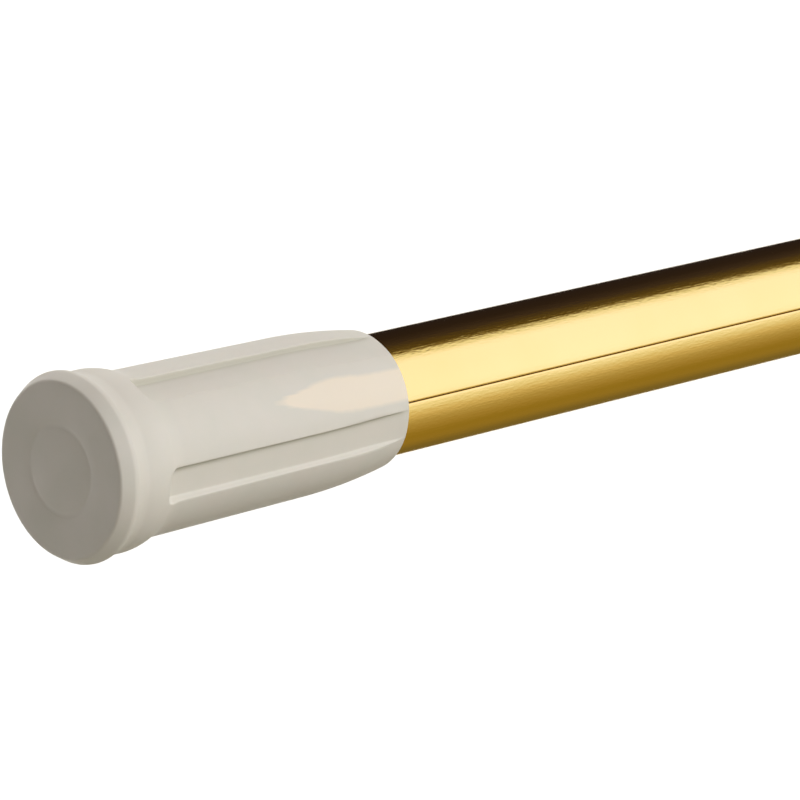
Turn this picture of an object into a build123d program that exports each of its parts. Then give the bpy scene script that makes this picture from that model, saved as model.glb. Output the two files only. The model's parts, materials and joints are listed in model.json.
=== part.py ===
from build123d import *
import os
from math import cos, pi, radians, sin, sqrt, tan

# A shower curtain rod that a spring holds between two walls. Two steel tubes telescope, a twist lock inside
# the large tube fixes the length, and a spring inside the small tube presses both end caps on the walls.
# Millimetres. +X runs along the rod and +Z is up. The origin is the middle of the large cap's wall face.

# The rod as a whole, closed
CLOSED_LENGTH = 1067.0
SPRING_TRAVEL = 40.0

# Tubes, rolled from strip with a butt seam
LARGE_RADIUS = 12.7
LARGE_WALL = 0.6
TUBE_GAP = 1.0
SMALL_WALL = 0.6
SEAM_GAP = 0.3
LARGE_SEAM_ANGLE = 173.8
SMALL_SEAM_ANGLE = 60.0

# Soft end caps
CAP_LENGTH = 80.0
CAP_FLOOR = 3.0
PAD_OVER_TUBE = 6.1
PAD_EDGE_RADIUS = 0.9
PAD_FLANK_ANGLE = 30.0
PAD_CREST_RADIUS = 1.5
PAD_WIDTH = 3.0
WAIST_AT = 7.0
WAIST_OVER_TUBE = 5.15
COLLAR_AT = 10.0
COLLAR_OVER_TUBE = 5.3
COLLAR_END_AT = 13.4
COLLAR_END_OVER_TUBE = 4.6
SHOULDER_AT = 17.5
SHOULDER_OVER_TUBE = 3.8
SLEEVE_TAPER_AT = 58.0
SLEEVE_OVER_TUBE = 3.5
REAR_OVER_TUBE = 1.75
REAR_LIP_RADIUS = 0.9
FACE_RING_RADIUS = 8.7
FACE_RING_WIDTH = 1.0
FACE_RING_DEPTH = 0.25

# Grip pockets, sunk into the cap's sleeve and running out at its rounded rear end
POCKET_COUNT = 5
POCKET_START = 14.0
POCKET_SPAN = 24.0
POCKET_WALL_DEPTH = 0.85
POCKET_WALL_SLOPE = 28.0
POCKET_FLOOR_FILLET = 0.35
POCKET_PHASE = 189.3

# Plugs that close the tubes under the caps
PLUG_RIM = 1.2
PLUG_DEPTH = 14.0
PLUG_WALL = 1.4
PLUG_RIB_COUNT = 6
PLUG_RIB_WIDTH = 1.6
PLUG_RIB_HEIGHT = 0.5
PLUG_RIB_PHASE = 15.0

# Bush in the large tube's mouth
MOUTH_LIP = 3.0
MOUTH_LIP_OVER_TUBE = 1.0
MOUTH_SKIRT = 14.0
MOUTH_GAP = 2.0

# Twist lock: a split sleeve, a cone nut with keys in its slots, and a threaded stud
STUD_RADIUS = 4.0
STUD_TIP_GAP = 18.0
STUD_TIP_LENGTH = 1.5
STUD_SOCKET_DEPTH = 15.0
LOCK_LEAD = 2.5
WEDGE_LENGTH = 16.0
WEDGE_LAND = 2.0
WEDGE_STEP = 1.2
WEDGE_ANGLE = 8.0
WEDGE_EXPOSED = 9.0
KEY_COUNT = 4
KEY_WIDTH = 1.8
KEY_STEP = 0.6
SLEEVE_LENGTH = 36.0
FINGER_LENGTH = 25.0
FINGER_CHAMFER = 0.8
GRIP_GROOVE_PITCH = 4.5
GRIP_GROOVE_WIDTH = 1.6
GRIP_GROOVE_DEPTH = 0.5

# Plunger that runs in the small tube
WASHER_THICKNESS = 1.0
WASHER_RADIUS = 8.0
SHANK_FLATS = 13.0
SHANK_COLLAR = 3.0
SHANK_COLLAR_RADIUS = 9.0
SHANK_TIP_RADIUS = 4.5
PIN_RADIUS = 1.5
PIN_WALL = 0.4
PIN_INSET = 0.3
PIN_AT = 10.0

# Circlips on the stud and on the shank's tip
CLIP_THICKNESS = 0.8
CLIP_BITE = 0.6
CLIP_BAND = 1.8
CLIP_MOUTH = 5.0
CLIP_TURN = 45.0

# Spring and what it bears on
WIRE_RADIUS = 0.8
COIL_GAP = 1.7
COIL_TURNS = 8
SPRING_LENGTH = 100.0
SEAT_THICKNESS = 2.0
SEAT_BOSS = 2.5
STOP_WASHER_THICKNESS = 1.5
STOP_WASHER_BORE = 5.0
STOP_LENGTH = 14.0
STOP_FLOOR = 4.0
STOP_CORE_RADIUS = 6.5
BUSH_RIM = 1.0
BUSH_LENGTH = 12.0

# Rolled beads that hold the bush and the stop in the small tube
BEAD_WIDTH = 3.0
BEAD_ROOT = 1.2
BEAD_DEPTH = 0.8

# Clearances
PUSH_FIT = 0.05
RUNNING_FIT = 0.06
SLIDE_GAP = 0.3
KEY_GAP = 0.3
FLAT_GAP = 0.1

# Radii, worked out from the tubes and the clearances
LARGE_BORE = LARGE_RADIUS - LARGE_WALL
SMALL_RADIUS = LARGE_BORE - TUBE_GAP
SMALL_BORE = SMALL_RADIUS - SMALL_WALL
PAD_RADIUS = LARGE_RADIUS + PAD_OVER_TUBE
SLEEVE_RADIUS = LARGE_BORE - SLIDE_GAP
WEDGE_RADIUS = SLEEVE_RADIUS - WEDGE_STEP
WEDGE_NOSE_RADIUS = WEDGE_RADIUS - (WEDGE_LENGTH - WEDGE_LAND) * tan(radians(WEDGE_ANGLE))
KEY_RADIUS = SLEEVE_RADIUS - KEY_STEP
SEAT_RADIUS = SMALL_BORE - SLIDE_GAP
COIL_RADIUS = SMALL_BORE - COIL_GAP - WIRE_RADIUS
SEAT_BOSS_RADIUS = COIL_RADIUS - WIRE_RADIUS - SLIDE_GAP
SLOT_WIDTH = KEY_WIDTH + 2 * KEY_GAP

# Places along the rod, worked out from its lengths
LARGE_START = CAP_FLOOR + PLUG_RIM
LARGE_END = CLOSED_LENGTH - CAP_LENGTH - SPRING_TRAVEL - MOUTH_GAP - MOUTH_LIP
SMALL_END = CLOSED_LENGTH - CAP_FLOOR - PLUG_RIM
STUD_START = LARGE_START + PLUG_DEPTH + STUD_TIP_GAP
CLIP_START = STUD_START + STUD_TIP_LENGTH
WEDGE_START = CLIP_START + CLIP_THICKNESS + SLIDE_GAP
SLEEVE_START = WEDGE_START + WEDGE_EXPOSED
SLEEVE_END = SLEEVE_START + SLEEVE_LENGTH
COLLAR_START = SLEEVE_END + WASHER_THICKNESS
COLLAR_END = COLLAR_START + SHANK_COLLAR
BUSH_START = COLLAR_END + SPRING_TRAVEL + MOUTH_GAP
SMALL_START = BUSH_START + BUSH_RIM
BUSH_END = SMALL_START + BUSH_LENGTH
SEAT_START = BUSH_END + FLAT_GAP
SPRING_START = SEAT_START + SEAT_THICKNESS
SPRING_END = SPRING_START + SPRING_LENGTH
STOP_START = SPRING_END + STOP_WASHER_THICKNESS
SEAT_CLIP_START = SPRING_START + SEAT_BOSS
SHANK_END = SEAT_CLIP_START + CLIP_THICKNESS + STUD_TIP_LENGTH
BUSH_BEAD_AT = SMALL_START + BUSH_LENGTH / 2
STOP_BEAD_AT = STOP_START + STOP_LENGTH / 2


def disc(start, end, radius, bore=0.0):
    """A turned disc, bar or ring along X."""
    solid = Plane.YZ.offset(start) * extrude(Circle(radius), end - start)
    if bore > 0:
        solid -= Plane.YZ.offset(start) * extrude(Circle(bore), end - start)
    return solid


def hex_bar(start, end, across_flats):
    """A hexagonal bar along X."""
    corner_radius = across_flats / sqrt(3)
    return Plane.YZ.offset(start) * extrude(RegularPolygon(corner_radius, 6), end - start)


def radial_block(start, end, inner, outer, width, angle):
    """A block that stands out from the X axis at an angle, from one radius to another."""
    block = Box(end - start, outer - inner, width)
    return Rot(angle, 0, 0) * Pos((start + end) / 2, (inner + outer) / 2, 0) * block


def around(count, phase=0.0):
    """Evenly spaced angles about X."""
    return [phase + 360.0 * number / count for number in range(count)]


def cut_seam(tube, start, end, radius, wall, angle):
    """Opens the butt seam along a rolled tube."""
    return tube - radial_block(start, end, radius - 2 * wall, radius + wall, SEAM_GAP, angle)


def bead_ring(at, mouth_radius, root_radius, spread):
    """The ring between a rolled bead's sloping flanks, from its mouth down to its flat root."""
    half_mouth = BEAD_WIDTH / 2 + spread
    half_root = BEAD_ROOT / 2 + spread
    section = make_face(
        Polyline(
            (at - half_mouth, mouth_radius),
            (at - half_root, root_radius),
            (at + half_root, root_radius),
            (at + half_mouth, mouth_radius),
            close=True,
        )
    )
    return revolve(section, Axis.X)


def roll_bead(tube, at):
    """Rolls a bead into the small tube: a ridge inside and the groove outside that made it."""
    ridge = bead_ring(at, SMALL_BORE, SMALL_BORE - BEAD_DEPTH, 0)
    groove = bead_ring(at, SMALL_RADIUS, SMALL_RADIUS - BEAD_DEPTH, -SMALL_WALL / 2)
    return tube + ridge - groove


def cut_bead_seat(plug, at):
    """Cuts the groove in a plug that the small tube's rolled bead holds."""
    return plug - bead_ring(at, SMALL_BORE, SMALL_BORE - BEAD_DEPTH - PUSH_FIT, PUSH_FIT)


def circlip(start, shaft_radius):
    """A clip that snaps into a groove on a shaft."""
    bore = shaft_radius - CLIP_BITE + PUSH_FIT
    ring = disc(start, start + CLIP_THICKNESS, shaft_radius + CLIP_BAND, bore)
    outer = shaft_radius + 2 * CLIP_BAND
    return ring - radial_block(start, start + CLIP_THICKNESS, 0, outer, CLIP_MOUTH, CLIP_TURN)


def clip_groove(start, shaft_radius):
    """What a shaft loses to its circlip."""
    end = start + CLIP_THICKNESS
    return disc(start, end, shaft_radius + CLIP_BITE, shaft_radius - CLIP_BITE)


def cap_outline(tube_radius):
    """Half the cap's section, from the wall face to the rear end, with radii in Y."""
    waist = tube_radius + WAIST_OVER_TUBE
    collar = tube_radius + COLLAR_OVER_TUBE
    collar_end = tube_radius + COLLAR_END_OVER_TUBE
    shoulder = tube_radius + SHOULDER_OVER_TUBE
    sleeve = tube_radius + SLEEVE_OVER_TUBE
    rear = tube_radius + REAR_OVER_TUBE
    bore = tube_radius + PUSH_FIT
    lip_start = CAP_LENGTH - REAR_LIP_RADIUS
    slant = radians(PAD_FLANK_ANGLE)
    edge_end = PAD_EDGE_RADIUS * (1 - sin(slant))
    crest_start = PAD_WIDTH - PAD_CREST_RADIUS * sin(slant)
    crest_height = PAD_RADIUS - PAD_CREST_RADIUS * (1 - cos(slant))
    edge_height = crest_height - (crest_start - edge_end) * tan(slant)
    face = Line((0, 0), (0, edge_height - PAD_EDGE_RADIUS * cos(slant)))
    edge = TangentArc(face @ 1, (edge_end, edge_height), tangent=(0, 1))
    flank = Line(edge @ 1, (crest_start, crest_height))
    crest = TangentArc(flank @ 1, (PAD_WIDTH, PAD_RADIUS), tangent=flank % 1)
    neck = TangentArc((WAIST_AT, waist), crest @ 1, tangent=(-1, 0))
    bead = ThreePointArc((WAIST_AT, waist), (COLLAR_AT, collar), (COLLAR_END_AT, collar_end))
    shoulder_arc = TangentArc((SHOULDER_AT, shoulder), bead @ 1, tangent=(-1, 0))
    grip = Line((SHOULDER_AT, shoulder), (SLEEVE_TAPER_AT, sleeve))
    taper = TangentArc(grip @ 1, (lip_start, rear), tangent=grip % 1)
    lip = Line(taper @ 1, (CAP_LENGTH, rear - REAR_LIP_RADIUS))
    rear_face = Line(lip @ 1, (CAP_LENGTH, bore))
    bore_line = Line(rear_face @ 1, (CAP_FLOOR, bore))
    floor = Line(bore_line @ 1, (CAP_FLOOR, 0))
    axis_line = Line(floor @ 1, face @ 0)
    front = [face, edge, flank, crest, neck, bead, shoulder_arc]
    back = [grip, taper, lip, rear_face, bore_line, floor, axis_line]
    return make_face(front + back)


def grip_pocket(tube_radius):
    """One grip pocket as a flat-floored trough on the +Y side, with sloping walls and rounded floor corners."""
    sleeve = tube_radius + SLEEVE_OVER_TUBE
    half_mouth = sleeve * sin(radians(POCKET_SPAN / 2))
    floor_at = sleeve * cos(radians(POCKET_SPAN / 2)) - POCKET_WALL_DEPTH
    slope = tan(radians(POCKET_WALL_SLOPE))
    half_floor = half_mouth - POCKET_WALL_DEPTH * slope
    top_at = PAD_RADIUS + 1
    half_top = half_floor + (top_at - floor_at) * slope
    section = make_face(
        Polyline(
            (floor_at, -half_floor),
            (floor_at, half_floor),
            (top_at, half_top),
            (top_at, -half_top),
            close=True,
        )
    )
    trough = Plane.YZ.offset(POCKET_START) * extrude(section, CAP_LENGTH)
    floor_edges = trough.edges().filter_by_position(Axis.Y, floor_at - 0.01, floor_at + 0.01)
    floor_edges = floor_edges.sort_by(Axis.X)[:-1]
    return fillet(floor_edges, POCKET_FLOOR_FILLET)


def end_cap(tube_radius):
    """A soft cap as it sits on the large end: wall pad, waist, collar and fluted sleeve."""
    cap = revolve(cap_outline(tube_radius), Axis.X)
    ring_outer = FACE_RING_RADIUS + FACE_RING_WIDTH / 2
    cap -= disc(0, FACE_RING_DEPTH, ring_outer, ring_outer - FACE_RING_WIDTH)
    pocket = grip_pocket(tube_radius)
    for angle in around(POCKET_COUNT, POCKET_PHASE):
        cap -= Rot(angle, 0, 0) * pocket
    return cap


def end_plug(tube_radius, wall):
    """A plug in the large end: a rim over the tube's edge and a ribbed cup in its bore."""
    bore = tube_radius - wall
    cup_radius = bore - PLUG_RIB_HEIGHT
    cup_end = LARGE_START + PLUG_DEPTH
    plug = disc(CAP_FLOOR, LARGE_START, tube_radius) + disc(LARGE_START, cup_end, cup_radius)
    plug -= disc(LARGE_START, cup_end, cup_radius - PLUG_WALL)
    rib_root = cup_radius - PLUG_WALL / 2
    for angle in around(PLUG_RIB_COUNT, PLUG_RIB_PHASE):
        rib = radial_block(LARGE_START, cup_end, rib_root, tube_radius, PLUG_RIB_WIDTH, angle)
        plug += rib & disc(LARGE_START, cup_end, bore - PUSH_FIT)
    return plug


def on_small_end(piece):
    """Turns a piece made for the large end round to the small one."""
    return Pos(CLOSED_LENGTH, 0, 0) * Rot(0, 0, 180) * piece


def large_tube():
    tube = disc(LARGE_START, LARGE_END, LARGE_RADIUS, LARGE_BORE)
    return cut_seam(tube, LARGE_START, LARGE_END, LARGE_RADIUS, LARGE_WALL, LARGE_SEAM_ANGLE)


def small_tube():
    tube = disc(SMALL_START, SMALL_END, SMALL_RADIUS, SMALL_BORE)
    tube = roll_bead(tube, BUSH_BEAD_AT)
    tube = roll_bead(tube, STOP_BEAD_AT)
    return cut_seam(tube, SMALL_START, SMALL_END, SMALL_RADIUS, 2 * SMALL_WALL, SMALL_SEAM_ANGLE)


def mouth_bush():
    """The ring in the large tube's mouth that the small tube runs through."""
    lip_end = LARGE_END + MOUTH_LIP
    bush = disc(LARGE_END, lip_end, LARGE_RADIUS + MOUTH_LIP_OVER_TUBE)
    bush = chamfer(bush.edges().sort_by(Axis.X)[-1], MOUTH_LIP_OVER_TUBE)
    bush += disc(LARGE_END - MOUTH_SKIRT, LARGE_END, LARGE_BORE - PUSH_FIT)
    return bush - disc(LARGE_END - MOUTH_SKIRT, lip_end, SMALL_RADIUS + SLIDE_GAP)


def wedge_section(shift, gap):
    """Half the cone's section, moved along X and grown by a gap, with radii in Y."""
    start = WEDGE_START + shift
    cone_start = start + WEDGE_LAND
    end = start + WEDGE_LENGTH
    return make_face(
        Polyline(
            (start, 0),
            (start, WEDGE_RADIUS + gap),
            (cone_start, WEDGE_RADIUS + gap),
            (end, WEDGE_NOSE_RADIUS + gap),
            (end, 0),
            close=True,
        )
    )


def wedge_nut():
    """The cone nut. Its keys run in the sleeve's slots, so it moves along the stud without turning."""
    end = WEDGE_START + WEDGE_LENGTH
    nut = revolve(wedge_section(0, 0), Axis.X)
    for angle in around(KEY_COUNT):
        nut += radial_block(WEDGE_START, end, WEDGE_NOSE_RADIUS / 2, KEY_RADIUS, KEY_WIDTH, angle)
    return nut - disc(WEDGE_START, end, STUD_RADIUS + RUNNING_FIT)


def lock_sleeve():
    """The split sleeve whose fingers the cone nut spreads against the large tube's bore."""
    finger_end = SLEEVE_START + FINGER_LENGTH
    sleeve = disc(SLEEVE_START, SLEEVE_END, SLEEVE_RADIUS)
    ends = sleeve.edges().filter_by(GeomType.CIRCLE)
    sleeve = chamfer(ends, FINGER_CHAMFER)
    sleeve -= revolve(wedge_section(LOCK_LEAD, FLAT_GAP), Axis.X)
    sleeve -= disc(SLEEVE_START, finger_end, WEDGE_NOSE_RADIUS)
    groove_span = FINGER_LENGTH - 2 * GRIP_GROOVE_PITCH
    for number in range(int(groove_span / GRIP_GROOVE_PITCH) + 1):
        groove_start = SLEEVE_START + (number + 1) * GRIP_GROOVE_PITCH
        groove_end = groove_start + GRIP_GROOVE_WIDTH
        sleeve -= disc(groove_start, groove_end, SLEEVE_RADIUS + 1, SLEEVE_RADIUS - GRIP_GROOVE_DEPTH)
    for angle in around(KEY_COUNT):
        sleeve -= radial_block(SLEEVE_START, finger_end, 0, SLEEVE_RADIUS + 1, SLOT_WIDTH, angle)
    return sleeve - disc(SLEEVE_START, SLEEVE_END, STUD_RADIUS + RUNNING_FIT)


def lock_stud():
    end = COLLAR_START + SHANK_COLLAR + STUD_SOCKET_DEPTH
    stud = disc(STUD_START, end, STUD_RADIUS)
    stud = chamfer(stud.edges().filter_by(GeomType.CIRCLE), CLIP_BITE)
    stud -= clip_groove(CLIP_START, STUD_RADIUS)
    return stud - shank_pin_hole()


def shank_pin_hole():
    """The cross hole through the shank and the stud, along Z."""
    return Pos(COLLAR_START + PIN_AT, 0, 0) * Cylinder(PIN_RADIUS + PUSH_FIT, 2 * SHANK_FLATS)


def shank_pin():
    """A rolled pin, split along one side, that ends just below the shank's flats."""
    length = SHANK_FLATS - 2 * PIN_INSET
    pin = Cylinder(PIN_RADIUS, length) - Cylinder(PIN_RADIUS - PIN_WALL, length)
    pin -= Pos(PIN_RADIUS, 0, 0) * Box(PIN_RADIUS, PIN_WALL, length)
    return Pos(COLLAR_START + PIN_AT, 0, 0) * pin


def plunger_shank():
    """The hexagonal bar that turns the stud and slides in the small tube's bush."""
    shank = disc(COLLAR_START, COLLAR_END, SHANK_COLLAR_RADIUS)
    shank += Rot(30, 0, 0) * hex_bar(COLLAR_END, SEAT_START, SHANK_FLATS)
    shank += disc(SEAT_START, SHANK_END, SHANK_TIP_RADIUS)
    shank -= clip_groove(SEAT_CLIP_START, SHANK_TIP_RADIUS)
    socket_end = COLLAR_END + STUD_SOCKET_DEPTH + FLAT_GAP
    shank -= disc(COLLAR_START, socket_end, STUD_RADIUS + PUSH_FIT)
    return shank - shank_pin_hole()


def spring_seat():
    seat = disc(SEAT_START, SPRING_START, SEAT_RADIUS) + disc(SPRING_START, SEAT_CLIP_START, SEAT_BOSS_RADIUS)
    return seat - disc(SEAT_START, SEAT_CLIP_START, SHANK_TIP_RADIUS + PUSH_FIT)


def tension_spring():
    """The coil, with both ends ground flat. The wire's section is drawn with six flats."""
    pitch = SPRING_LENGTH / COIL_TURNS
    overrun = pitch
    path = Helix(pitch, SPRING_LENGTH + 2 * overrun, COIL_RADIUS)
    section = Plane(origin=path @ 0, z_dir=path % 0) * RegularPolygon(WIRE_RADIUS, 6)
    coil = sweep(section, path, is_frenet=True)
    coil = Pos(SPRING_START - overrun, 0, 0) * Rot(0, 90, 0) * coil
    return coil & disc(SPRING_START, SPRING_END, COIL_RADIUS + 4 * WIRE_RADIUS)


def stop_washer():
    return disc(SPRING_END, STOP_START, SEAT_RADIUS, STOP_WASHER_BORE)


def spring_stop():
    """The plug in the small tube that the spring pushes on, cored from its far side."""
    end = STOP_START + STOP_LENGTH
    stop = disc(STOP_START, end, SMALL_BORE - PUSH_FIT)
    stop -= disc(STOP_START + STOP_FLOOR, end, STOP_CORE_RADIUS)
    return cut_bead_seat(stop, STOP_BEAD_AT)


def retaining_bush():
    """The bush in the small tube's inner end, with the hexagonal hole that the shank slides through."""
    bush = disc(BUSH_START, SMALL_START, SMALL_RADIUS) + disc(SMALL_START, BUSH_END, SMALL_BORE - PUSH_FIT)
    bush -= Rot(30, 0, 0) * hex_bar(BUSH_START, BUSH_END, SHANK_FLATS + 2 * SLIDE_GAP)
    return cut_bead_seat(bush, BUSH_BEAD_AT)


PARTS = {
    "large_tube": large_tube(),
    "large_cap": end_cap(LARGE_RADIUS),
    "large_end_plug": end_plug(LARGE_RADIUS, LARGE_WALL),
    "mouth_bush": mouth_bush(),
    "lock_sleeve": lock_sleeve(),
    "wedge_nut": wedge_nut(),
    "lock_stud": lock_stud(),
    "stud_clip": circlip(CLIP_START, STUD_RADIUS),
    "thrust_washer": disc(SLEEVE_END, COLLAR_START, WASHER_RADIUS, STUD_RADIUS + PUSH_FIT),
    "plunger_shank": plunger_shank(),
    "shank_pin": shank_pin(),
    "spring_seat": spring_seat(),
    "seat_clip": circlip(SEAT_CLIP_START, SHANK_TIP_RADIUS),
    "tension_spring": tension_spring(),
    "stop_washer": stop_washer(),
    "spring_stop": spring_stop(),
    "retaining_bush": retaining_bush(),
    "small_tube": small_tube(),
    "small_cap": on_small_end(end_cap(SMALL_RADIUS)),
    "small_end_plug": on_small_end(end_plug(SMALL_RADIUS, SMALL_WALL)),
}

os.makedirs("parts", exist_ok=True)
for node, shape in PARTS.items():
    export_step(shape, f"parts/{node}.step")
    print(node, len(shape.solids()), round(shape.volume, 1))
print("wedge travel per radian of twist, in metres", LOCK_LEAD / (2 * pi) / 1000)
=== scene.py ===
"""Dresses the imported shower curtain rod: soft caps, rolled tubes, lock, studio and camera."""

import cmath
import json
import logging
from dataclasses import dataclass, field
from enum import Enum
from math import asin, atan2, copysign, cos, degrees, exp, hypot, pi, radians, sin, sqrt, tan

import bmesh
import bpy
from mathutils import Matrix, Vector

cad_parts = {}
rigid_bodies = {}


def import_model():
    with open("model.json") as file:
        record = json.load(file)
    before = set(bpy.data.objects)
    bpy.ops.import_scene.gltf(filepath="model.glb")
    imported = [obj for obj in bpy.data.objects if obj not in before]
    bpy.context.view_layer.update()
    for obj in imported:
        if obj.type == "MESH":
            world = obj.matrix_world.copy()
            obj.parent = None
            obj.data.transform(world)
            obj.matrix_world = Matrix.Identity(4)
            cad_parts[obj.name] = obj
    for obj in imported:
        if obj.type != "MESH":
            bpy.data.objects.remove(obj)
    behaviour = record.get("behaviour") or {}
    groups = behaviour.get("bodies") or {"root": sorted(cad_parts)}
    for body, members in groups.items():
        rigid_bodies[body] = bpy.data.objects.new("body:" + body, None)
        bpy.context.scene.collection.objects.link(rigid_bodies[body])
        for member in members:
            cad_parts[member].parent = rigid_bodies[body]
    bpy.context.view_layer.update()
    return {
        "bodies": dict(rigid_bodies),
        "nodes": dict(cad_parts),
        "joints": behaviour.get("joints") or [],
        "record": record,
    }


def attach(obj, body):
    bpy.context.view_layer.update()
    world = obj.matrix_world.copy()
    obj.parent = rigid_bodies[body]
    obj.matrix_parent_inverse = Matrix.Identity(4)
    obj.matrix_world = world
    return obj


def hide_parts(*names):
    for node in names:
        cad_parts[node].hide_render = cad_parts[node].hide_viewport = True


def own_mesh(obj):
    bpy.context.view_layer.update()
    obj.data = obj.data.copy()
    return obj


LOG = logging.getLogger("curtain_rod")
MM = 0.001
FULL_TURN = 2 * pi
POINT_MERGE = 0.002
SHARP_ANGLE = radians(38)
SQUARE_EDGE = radians(60)
NOISE_LOW, NOISE_HIGH = 0.3, 0.7
# Vertex mark for a painted warm highlight on one land near each cap's rear end.
WARM_HIGHLIGHT_MARK = "painted_warm_highlight"
# Vertex mark for painted shade along the foot of one wall of each grip pocket.
CREASE_SHADE_MARK = "pocket_crease_painted_shade"

Point = tuple[float, float]
Pair = tuple[float, float]
Triple = tuple[float, float, float]


class Slot(Enum):
    """The record's material slots."""

    BRASS = "brass_plated_tube"
    VINYL = "soft_vinyl"
    WHITE = "white_plastic"
    GREY = "grey_plastic"
    BLACK = "black_plastic"
    ZINC = "zinc_steel"
    SPRING = "spring_steel"


class Body(Enum):
    """The CAD bodies that the new pieces ride on."""

    OUTER = "outer_rod"
    INNER = "inner_rod"
    PLUNGER = "plunger_body"


# Small tools


def linear(colour: str) -> tuple[float, float, float, float]:
    """Turns an sRGB hex colour linear.

    Args:
        colour: Six hex digits after a hash sign.

    Returns:
        Linear red, green, blue and an alpha of one.
    """
    parts = [int(colour[place : place + 2], 16) / 255 for place in (1, 3, 5)]
    red, green, blue = (
        part / 12.92 if part <= 0.04045 else ((part + 0.055) / 1.055) ** 2.4 for part in parts
    )
    return red, green, blue, 1.0


def add_node(
    tree: bpy.types.NodeTree, kind: str, settings: dict | None = None, inputs: dict | None = None
) -> bpy.types.Node:
    """Adds a node and gives it its settings, values and links.

    Args:
        tree: The node tree that it goes into.
        kind: The node's type, without the words that all of them start with.
        settings: Properties by name.
        inputs: Values or sockets by the input's name or place.

    Returns:
        The new node.
    """
    made = tree.nodes.new("ShaderNode" + kind)
    for name, value in (settings or {}).items():
        setattr(made, name, value)
    for name, value in (inputs or {}).items():
        if isinstance(value, bpy.types.NodeSocket):
            tree.links.new(value, made.inputs[name])
        else:
            made.inputs[name].default_value = value
    return made


def new_material(name: str) -> tuple[bpy.types.Material, bpy.types.NodeTree, bpy.types.Node]:
    """Makes an empty material.

    Args:
        name: The real material and how it was made.

    Returns:
        The material, its node tree and its output node.
    """
    material = bpy.data.materials.new(name)
    material.use_nodes = True
    tree = material.node_tree
    tree.nodes.clear()
    return material, tree, add_node(tree, "OutputMaterial")


def smooth(share: float) -> float:
    """Eases a share in and out between zero and one."""
    share = min(max(share, 0.0), 1.0)
    return share * share * (3 - 2 * share)


def arc(start: Point, end: Point, radius: float, steps: int) -> list[Point]:
    """Gives the points of an arc after its first one.

    Args:
        start: Where it starts, as a place along the rod and a radius.
        end: Where it ends.
        radius: Above zero where it swells outwards, below zero where it is hollow.
        steps: How many straight runs it is drawn in.

    Returns:
        The points after the start, up to and with the end.
    """
    first, last = complex(*start), complex(*end)
    half = abs(last - first) / 2
    side = -1j * (last - first) / (2 * half)
    centre = (first + last) / 2 + side * copysign(sqrt(radius**2 - half**2), radius)
    sweep = -2 * asin(half / radius)
    found = [
        centre + (first - centre) * cmath.rect(1, sweep * step / steps)
        for step in range(1, steps + 1)
    ]
    return [(point.real, point.imag) for point in found]


def run(start: Point, end: Point, steps: int) -> list[Point]:
    """Gives the points of a straight run after its first one.

    Args:
        start: Where it starts.
        end: Where it ends.
        steps: How many equal parts it has.

    Returns:
        The points after the start, up to and with the end.
    """
    return [
        tuple(a + (b - a) * step / steps for a, b in zip(start, end))
        for step in range(1, steps + 1)
    ]


def draw_line(mesh: bmesh.types.BMesh, points: list[Point], angle: float = 0.0) -> list:
    """Draws a section's line in the half plane at an angle about the rod's axis.

    Args:
        mesh: The mesh that it is drawn in.
        points: Places along the rod and radii, in millimetres.
        angle: From +Y towards +Z.

    Returns:
        The line's points and edges.
    """
    verts = [
        mesh.verts.new((x * MM, radius * cos(angle) * MM, radius * sin(angle) * MM))
        for x, radius in points
    ]
    edges = [mesh.edges.new(pair) for pair in zip(verts, verts[1:])]
    return verts + edges


def spin_about_rod(
    mesh: bmesh.types.BMesh, line: list, steps: int, angle: float = FULL_TURN
) -> None:
    """Spins a line about the rod's axis, and closes it where the turn is full.

    Args:
        mesh: The mesh that holds the line.
        line: The line's points and edges.
        steps: How many facets go round.
        angle: How far it turns.
    """
    full = angle == FULL_TURN
    bmesh.ops.spin(
        mesh,
        geom=line,
        cent=(0, 0, 0),
        axis=(1, 0, 0),
        angle=angle,
        steps=steps,
        use_merge=full,
        use_normal_flip=False,
        use_duplicate=False,
    )
    bmesh.ops.remove_doubles(mesh, verts=mesh.verts[:], dist=POINT_MERGE * MM)
    bmesh.ops.recalc_face_normals(mesh, faces=mesh.faces[:])


def finish_piece(
    mesh: bmesh.types.BMesh,
    name: str,
    body: Body,
    material: bpy.types.Material,
    replaced: str,
) -> bpy.types.Object:
    """Makes an object of a mesh, dresses it and hangs it on its body.

    Args:
        mesh: The finished mesh, in place. It is freed.
        name: The piece's name.
        body: The CAD body that it rides on.
        material: What it is made of.
        replaced: The CAD node that it stands for.

    Returns:
        The new object.
    """
    data = bpy.data.meshes.new(name)
    mesh.to_mesh(data)
    mesh.free()
    data.shade_smooth()
    data.set_sharp_from_angle(angle=SHARP_ANGLE)
    data.materials.append(material)
    piece = bpy.data.objects.new(name, data)
    bpy.context.scene.collection.objects.link(piece)
    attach(piece, body.value)
    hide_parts(replaced)
    LOG.info("%s: %d faces, stands for %s", name, len(data.polygons), replaced)
    return piece


# Finishes


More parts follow.
